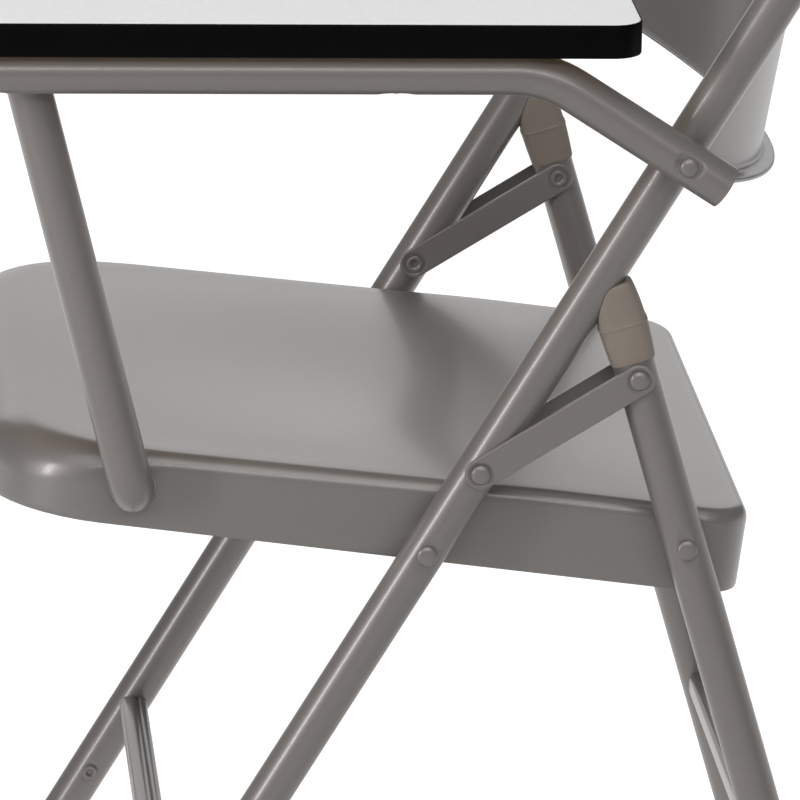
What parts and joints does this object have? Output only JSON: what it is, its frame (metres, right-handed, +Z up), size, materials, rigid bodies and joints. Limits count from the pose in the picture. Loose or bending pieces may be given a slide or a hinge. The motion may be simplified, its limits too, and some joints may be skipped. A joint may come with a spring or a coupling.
{
  "type": "folding chair with tablet arm",
  "caption": "Tubular steel folding chair with a contoured pan seat, bowed sheet backrest and a writing tablet held by an arm and post on the left.",
  "frame": {"origin": "on the floor, at the centre of the whole chair's bounding box in plan", "axes": "+Z up, -Y the way the sitter faces, +X to the sitter's left, where the tablet is"},
  "size_m": [0.4874, 0.69, 0.765],
  "materials": {
    "painted_steel": "satin",
    "taupe_plastic": "matte",
    "nylon": "matte",
    "particle_board": "matte",
    "laminate": "satin",
    "black_edge": "satin",
    "zinc_steel": "satin"
  },
  "bodies": {
    "front_frame": {"front_frame": "painted_steel", "front_cross_brace": "painted_steel", "backrest_panel": "painted_steel", "arm_pivot_rivet": "painted_steel", "arm_pivot_spacer": "nylon", "front_leg_rivets": "painted_steel", "foot_cap_front_left": "taupe_plastic", "foot_cap_front_right": "taupe_plastic", "seat_hinge_rivet_left": "painted_steel", "seat_hinge_rivet_right": "painted_steel", "seat_hinge_spacer_left": "nylon", "seat_hinge_spacer_right": "nylon", "link_lower_rivet_left": "painted_steel", "link_lower_rivet_right": "painted_steel"},
    "seat": {"seat_pan": "painted_steel"},
    "rear_legs": {"rear_cross_brace": "painted_steel", "rear_leg_left": "painted_steel", "rear_leg_right": "painted_steel", "rear_leg_cap_left": "taupe_plastic", "rear_leg_cap_right": "taupe_plastic", "foot_cap_rear_left": "taupe_plastic", "foot_cap_rear_right": "taupe_plastic", "rear_hinge_rivet_left": "painted_steel", "rear_hinge_rivet_right": "painted_steel", "rear_hinge_spacer_left": "nylon", "rear_hinge_spacer_right": "nylon"},
    "links": {"link_plate_outer_left": "painted_steel", "link_plate_outer_right": "painted_steel", "link_plate_inner_left": "painted_steel", "link_plate_inner_right": "painted_steel", "link_upper_rivet_left": "painted_steel", "link_upper_rivet_right": "painted_steel"},
    "tablet_arm": {"arm_tube": "painted_steel", "arm_end_plug": "taupe_plastic", "tablet_board": "particle_board", "tablet_laminate": "laminate", "tablet_edge_band": "black_edge", "tablet_screws": "zinc_steel", "post_bracket": "painted_steel", "post_bracket_pins": "painted_steel", "post_bracket_screws": "zinc_steel"},
    "post": {"post_tube": "painted_steel", "post_retaining_ring": "zinc_steel", "post_eye": "painted_steel"}
  },
  "joints": [
    {"name": "seat_fold", "type": "hinge", "parent": "front_frame", "child": "seat", "pos_m": [-0.0138, 0.08665, 0.385], "axis": [-1, 0, 0], "range_deg": [0, 100.5]},
    {"name": "rear_leg_fold", "type": "hinge", "parent": "seat", "child": "rear_legs", "pos_m": [-0.0138, 0.22265, 0.385], "axis": [1, 0, 0], "range_deg": [0, 54.5]},
    {"name": "link_fold", "type": "hinge", "parent": "front_frame", "child": "links", "pos_m": [-0.0138, 0.11431, 0.42927], "axis": [-1, 0, 0], "range_deg": [0, 122.5]},
    {"name": "arm_lift", "type": "hinge", "parent": "front_frame", "child": "tablet_arm", "pos_m": [-0.0138, 0.21871, 0.59633], "axis": [-1, 0, 0], "range_deg": [0, 15.6]},
    {"name": "post_fold", "type": "hinge", "parent": "seat", "child": "post", "pos_m": [-0.0138, -0.06485, 0.4175], "axis": [1, 0, 0], "range_deg": [0, 231]}
  ],
  "couplings": [
    {"joint": "rear_leg_fold", "follows": "seat_fold", "ratio": 0.53592},
    {"joint": "link_fold", "follows": "seat_fold", "ratio": 1.2093},
    {"joint": "arm_lift", "follows": "seat_fold", "ratio": 0.15224},
    {"joint": "post_fold", "follows": "seat_fold", "ratio": 2.2786}
  ]
}
